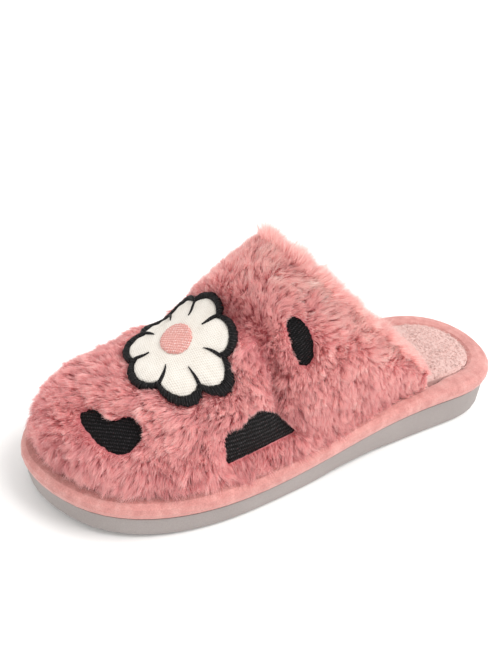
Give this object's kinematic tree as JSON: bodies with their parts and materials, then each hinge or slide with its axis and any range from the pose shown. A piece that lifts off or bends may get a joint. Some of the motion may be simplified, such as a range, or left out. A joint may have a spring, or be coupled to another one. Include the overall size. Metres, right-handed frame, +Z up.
{
  "type": "fabric slipper",
  "caption": "Backless plush slipper for the left foot, pink long pile with black patches and a white flower on a grey foam sole.",
  "frame": {"origin": "on the floor under the middle of the slipper's bounding box", "axes": "+Y from the heel to the toe, +X towards the big toe side, +Z up"},
  "size_m": [0.1032, 0.268, 0.1164],
  "materials": {
    "grey_foam_rubber": "matt moulded foam",
    "pink_velour": "short velvety nap",
    "pink_fleece": "short looped fleece",
    "pink_plush": "long soft pile",
    "black_thread": "ribbed embroidery, slight sheen",
    "white_felt": "matt woven",
    "blush_thread": "satin stitch"
  },
  "bodies": {
    "root": {"outsole": "grey_foam_rubber", "midsole_wrap": "pink_velour", "insole": "pink_fleece", "upper": "pink_plush", "heart_patch": "black_thread", "dome_patch": "black_thread", "outer_oval_patch": "black_thread", "inner_oval_patch": "black_thread", "daisy_panel": "white_felt", "daisy_border": "black_thread", "daisy_centre": "blush_thread"}
  },
  "joints": []
}
